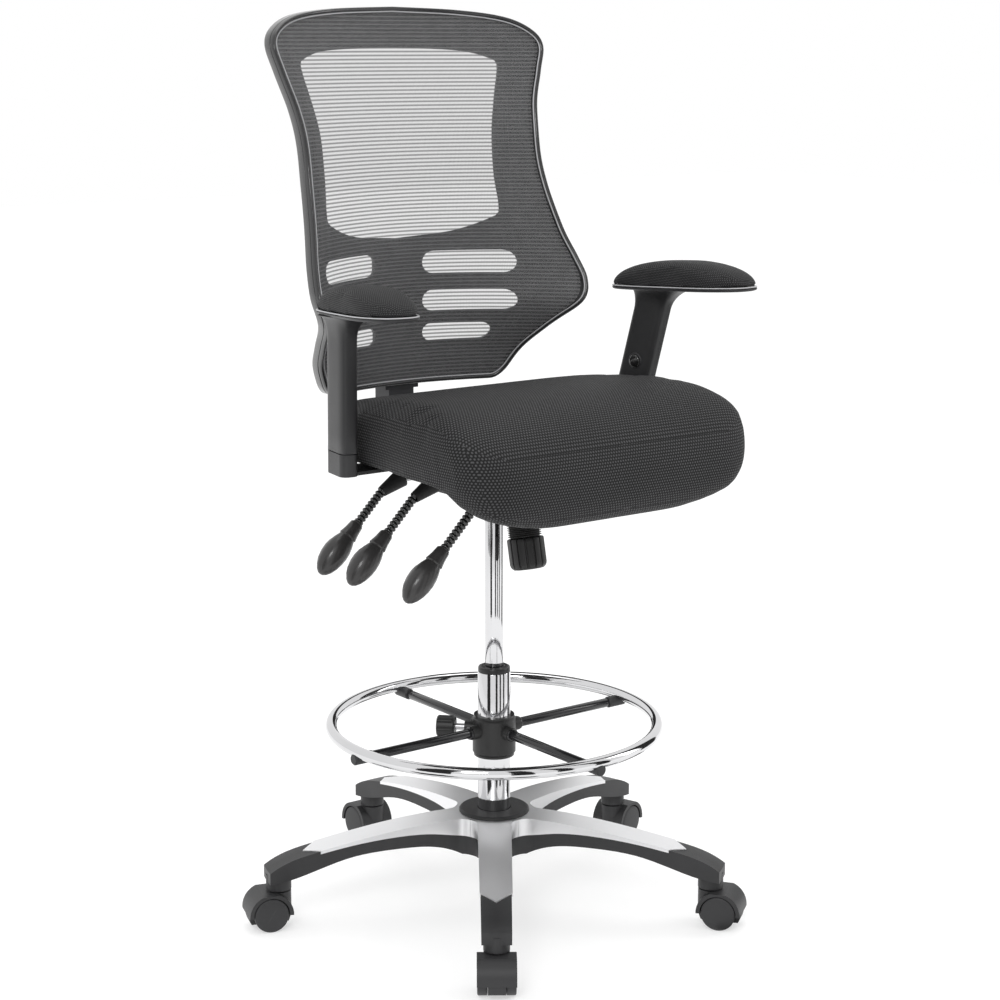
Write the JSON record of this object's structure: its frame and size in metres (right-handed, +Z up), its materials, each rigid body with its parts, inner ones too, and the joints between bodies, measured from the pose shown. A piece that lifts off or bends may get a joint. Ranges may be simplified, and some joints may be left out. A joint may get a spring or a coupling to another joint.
{
  "type": "drafting chair",
  "caption": "Drafting chair with a mesh back, padded seat, height-adjustable arms, tilt levers, tall gas lift, chromed foot ring and star base on casters.",
  "frame": {"origin": "on the floor directly below the axis of the gas-lift column", "axes": "+Z up, the chair faces -Y, +X is towards the left hand of a person sitting in it"},
  "size_m": [0.7617, 0.7261, 1.355],
  "materials": {
    "black_nylon": "satin moulded black nylon",
    "bright_cover": "satin silver",
    "dark_cover": "matt black",
    "steel": "zinc plated",
    "chrome": "polished chrome",
    "tread": "smooth hard plastic",
    "black_steel": "gloss black powder coat",
    "bush": "black acetal",
    "grip": "semi-gloss charcoal",
    "rubber": "matt",
    "board": "bare plywood",
    "seat_fabric": "black spacer mesh over foam",
    "mesh": "stretched black mesh",
    "shell": "fine texture",
    "rim": "satin",
    "pad_fabric": "black mesh over foam",
    "button": "gloss"
  },
  "bodies": {
    "root": {"base_star": "black_nylon", "base_covers": "bright_cover", "hub_cover": "dark_cover", "caster_stems": "steel", "column_tube": "chrome", "column_bushing": "bush", "thrust_bearing": "steel"},
    "caster_1": {"caster_hood_1": "black_nylon", "caster_axle_1": "steel"},
    "wheels_1": {"caster_wheels_1": "tread"},
    "caster_2": {"caster_hood_2": "black_nylon", "caster_axle_2": "steel"},
    "wheels_2": {"caster_wheels_2": "tread"},
    "caster_3": {"caster_hood_3": "black_nylon", "caster_axle_3": "steel"},
    "wheels_3": {"caster_wheels_3": "tread"},
    "caster_4": {"caster_hood_4": "black_nylon", "caster_axle_4": "steel"},
    "wheels_4": {"caster_wheels_4": "tread"},
    "caster_5": {"caster_hood_5": "black_nylon", "caster_axle_5": "steel"},
    "wheels_5": {"caster_wheels_5": "tread"},
    "gas_rod": {"gas_rod": "steel"},
    "lift": {"gas_cylinder": "chrome", "tilt_housing": "black_steel", "cross_shafts": "steel", "tension_bolt": "steel", "tension_bellows": "rubber"},
    "valve": {"release_button": "steel"},
    "tension": {"tension_knob": "black_nylon"},
    "lever_a": {"lever_rod_a": "steel", "lever_grip_a": "grip", "lever_boot_a": "rubber"},
    "lever_b": {"lever_rod_b": "steel", "lever_grip_b": "grip", "lever_boot_b": "rubber"},
    "lever_c": {"lever_rod_c": "steel", "lever_grip_c": "grip"},
    "seat": {"seat_plate": "black_steel", "seat_pan": "board", "seat_cushion": "seat_fabric", "arm_brackets": "black_steel"},
    "arm_left": {"arm_sleeve_left": "black_nylon", "arm_pad_left": "pad_fabric"},
    "arm_right": {"arm_sleeve_right": "black_nylon", "arm_pad_right": "pad_fabric"},
    "button_left": {"arm_button_left": "button"},
    "button_right": {"arm_button_right": "button"},
    "back_arm": {"back_bar": "black_steel"},
    "backrest": {"back_carrier": "black_nylon", "back_shell": "shell", "back_rim": "rim", "back_mesh": "mesh"},
    "ring_carrier": {"ring_liner": "bush"},
    "ring": {"ring_collar": "dark_cover", "ring_spokes": "black_steel", "ring_clips": "dark_cover", "foot_ring": "chrome"},
    "ring_clamp": {"ring_knob": "black_nylon", "ring_stud": "steel"}
  },
  "joints": [
    {"name": "caster_swivel_1", "type": "hinge", "parent": "root", "child": "caster_1", "pos_m": [-0.20236, -0.27447, 0.057], "axis": [0, 0, 1], "continuous": true},
    {"name": "wheel_roll_1", "type": "hinge", "parent": "caster_1", "child": "wheels_1", "pos_m": [-0.21244, -0.28815, 0.026], "axis": [0.8049, -0.5934, 0], "continuous": true},
    {"name": "caster_swivel_2", "type": "hinge", "parent": "root", "child": "caster_2", "pos_m": [0.1985, -0.27727, 0.057], "axis": [0, 0, 1], "continuous": true},
    {"name": "wheel_roll_2", "type": "hinge", "parent": "caster_2", "child": "wheels_2", "pos_m": [0.2084, -0.29109, 0.026], "axis": [0.8131, 0.5821, 0], "continuous": true},
    {"name": "caster_swivel_3", "type": "hinge", "parent": "root", "child": "caster_3", "pos_m": [0.32504, 0.10311, 0.057], "axis": [0, 0, 1], "continuous": true},
    {"name": "wheel_roll_3", "type": "hinge", "parent": "caster_3", "child": "wheels_3", "pos_m": [0.34124, 0.10825, 0.026], "axis": [-0.3024, 0.9532, 0], "continuous": true},
    {"name": "caster_swivel_4", "type": "hinge", "parent": "root", "child": "caster_4", "pos_m": [0.00238, 0.34099, 0.057], "axis": [0, 0, 1], "continuous": true},
    {"name": "wheel_roll_4", "type": "hinge", "parent": "caster_4", "child": "wheels_4", "pos_m": [0.0025, 0.35799, 0.026], "axis": [-1, 0.007, 0], "continuous": true},
    {"name": "caster_swivel_5", "type": "hinge", "parent": "root", "child": "caster_5", "pos_m": [-0.32357, 0.10764, 0.057], "axis": [0, 0, 1], "continuous": true},
    {"name": "wheel_roll_5", "type": "hinge", "parent": "caster_5", "child": "wheels_5", "pos_m": [-0.3397, 0.113, 0.026], "axis": [-0.3156, -0.9489, 0], "continuous": true},
    {"name": "seat_swivel", "type": "hinge", "parent": "root", "child": "gas_rod", "pos_m": [0, 0, 0.1], "axis": [0, 0, 1], "continuous": true},
    {"name": "seat_height", "type": "slide", "parent": "gas_rod", "child": "lift", "axis": [0, 0, 1], "range_m": [-0.19, 0]},
    {"name": "foot_ring_height", "type": "slide", "parent": "root", "child": "ring_carrier", "axis": [0, 0, 1], "range_m": [-0.07, 0.05]},
    {"name": "foot_ring_turn", "type": "hinge", "parent": "ring_carrier", "child": "ring", "pos_m": [0, 0, 0.2845], "axis": [0, 0, 1], "continuous": true},
    {"name": "ring_knob_turn", "type": "hinge", "parent": "ring", "child": "ring_clamp", "pos_m": [-0.0495, 0.0495, 0.275], "axis": [-0.7071, 0.7071, 0], "range_deg": [0, 720]},
    {"name": "tension_turn", "type": "hinge", "parent": "lift", "child": "tension", "pos_m": [0, -0.07033, 0.613], "axis": [0, -0.213, -0.977], "range_deg": [-1080, 1080]},
    {"name": "lever_a_lift", "type": "hinge", "parent": "lift", "child": "lever_a", "pos_m": [-0.046, 0.068, 0.666], "axis": [0, 1, 0], "range_deg": [0, 6]},
    {"name": "lever_b_lift", "type": "hinge", "parent": "lift", "child": "lever_b", "pos_m": [-0.046, 0.002, 0.666], "axis": [0, 1, 0], "range_deg": [0, 6]},
    {"name": "lever_c_lift", "type": "hinge", "parent": "lift", "child": "lever_c", "pos_m": [-0.046, -0.125, 0.666], "axis": [0, 1, 0], "range_deg": [0, 8]},
    {"name": "valve_press", "type": "slide", "parent": "lift", "child": "valve", "axis": [0, 0, 1], "range_m": [-0.003, 0]},
    {"name": "seat_tilt", "type": "hinge", "parent": "lift", "child": "seat", "pos_m": [0, -0.075, 0.668], "axis": [-1, 0, 0], "range_deg": [0, 4]},
    {"name": "back_recline", "type": "hinge", "parent": "lift", "child": "back_arm", "pos_m": [0, 0.085, 0.66], "axis": [-1, 0, 0], "range_deg": [0, 18]},
    {"name": "back_height", "type": "slide", "parent": "back_arm", "child": "backrest", "axis": [0, 0, 1], "range_m": [0, 0.06]},
    {"name": "arm_height_left", "type": "slide", "parent": "seat", "child": "arm_left", "axis": [0.1124, -0.189, 0.9755], "range_m": [0, 0.07]},
    {"name": "arm_button_left_press", "type": "slide", "parent": "arm_left", "child": "button_left", "axis": [0.9848, 0.1736, 0], "range_m": [0, 0.0025], "stiffness_N_per_m": 600},
    {"name": "arm_height_right", "type": "slide", "parent": "seat", "child": "arm_right", "axis": [-0.1124, -0.189, 0.9755], "range_m": [0, 0.07]},
    {"name": "arm_button_right_press", "type": "slide", "parent": "arm_right", "child": "button_right", "axis": [-0.9848, 0.1736, 0], "range_m": [0, 0.0025], "stiffness_N_per_m": 600}
  ],
  "couplings": [
    {"joint": "valve_press", "follows": "lever_c_lift", "m_per_rad": -0.0214}
  ]
}
